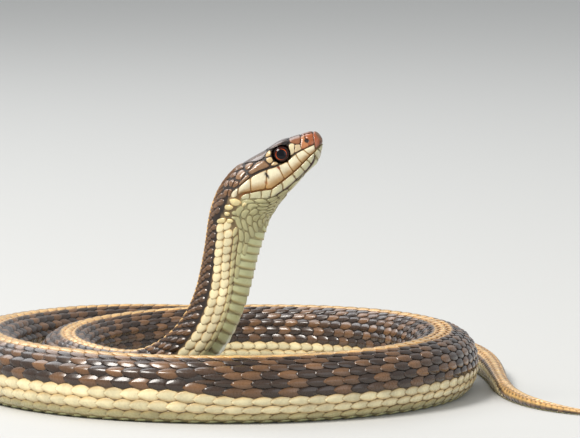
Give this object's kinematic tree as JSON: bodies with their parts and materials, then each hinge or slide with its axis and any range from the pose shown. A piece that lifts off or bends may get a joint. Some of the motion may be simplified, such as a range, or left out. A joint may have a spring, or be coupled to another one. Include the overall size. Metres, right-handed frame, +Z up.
{
  "type": "garter snake",
  "caption": "Life-size still model of a garter snake with its head raised on a bent neck and its body lying in a loose coil",
  "frame": {"origin": "middle of the footprint's box, on the floor that the belly lies on", "axes": "+Z up, +X the way the raised head points, -Y the side that the right side of the head faces"},
  "size_m": [0.1292, 0.121, 0.0564],
  "materials": {
    "head_skin": "smooth glossy horn plates, brown above and cream below",
    "body_skin": "keeled brown scales with three pale stripes and a pale greenish belly",
    "eye": "wet gloss, black round pupil in a dark iris with an orange ring"
  },
  "bodies": {
    "root": {"head": "head_skin", "eye_right": "eye", "eye_left": "eye", "neck": "body_skin", "trunk_1": "body_skin", "trunk_2": "body_skin", "trunk_3": "body_skin", "trunk_4": "body_skin", "trunk_5": "body_skin", "trunk_6": "body_skin", "trunk_7": "body_skin", "trunk_8": "body_skin", "tail_1": "body_skin", "tail_2": "body_skin"}
  },
  "joints": []
}
